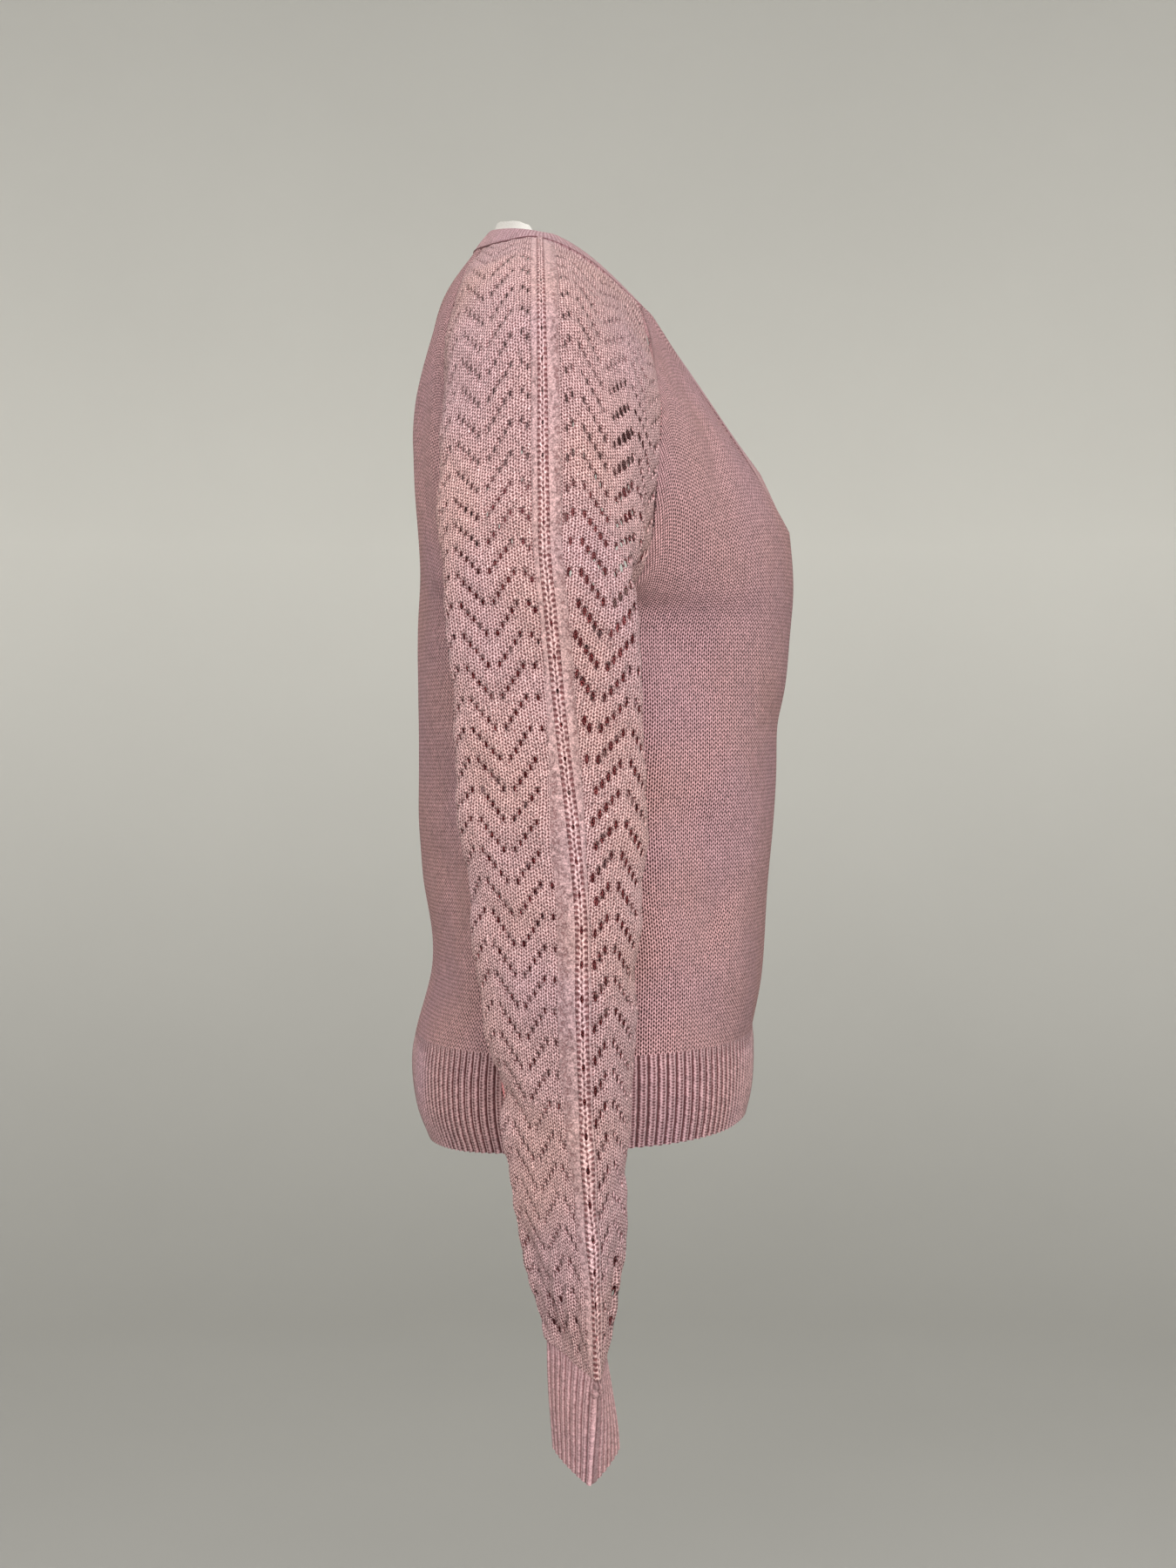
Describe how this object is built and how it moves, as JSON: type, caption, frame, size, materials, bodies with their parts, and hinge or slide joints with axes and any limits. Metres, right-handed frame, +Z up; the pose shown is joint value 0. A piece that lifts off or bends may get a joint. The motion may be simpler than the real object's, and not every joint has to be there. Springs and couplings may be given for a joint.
{
  "type": "v-neck sweater",
  "caption": "Knitted V-neck sweater as worn and hollow: plain body, raglan lace sleeves, ribbed cuffs, hem and neckband, and a blank neck tape.",
  "frame": {"origin": "middle of the neck's base, where the wearer or the form holds the sweater up", "axes": "+Z up, -Y to the front of the sweater, +X to the wearer's left"},
  "size_m": [0.4858, 0.2598, 0.8015],
  "materials": {
    "pink_knit": "soft dusty pink stockinette, matt",
    "pink_lace": "dusty pink openwork knit, matt",
    "pink_rib": "dusty pink rib, matt",
    "white_tape": "white ribbed tape, blank"
  },
  "bodies": {
    "root": {"front": "pink_knit", "back": "pink_knit", "sleeve_right": "pink_lace", "sleeve_left": "pink_lace", "cuff_right": "pink_rib", "cuff_left": "pink_rib", "hem_front": "pink_rib", "hem_back": "pink_rib", "neckband": "pink_rib", "neck_tape": "white_tape"}
  },
  "joints": []
}
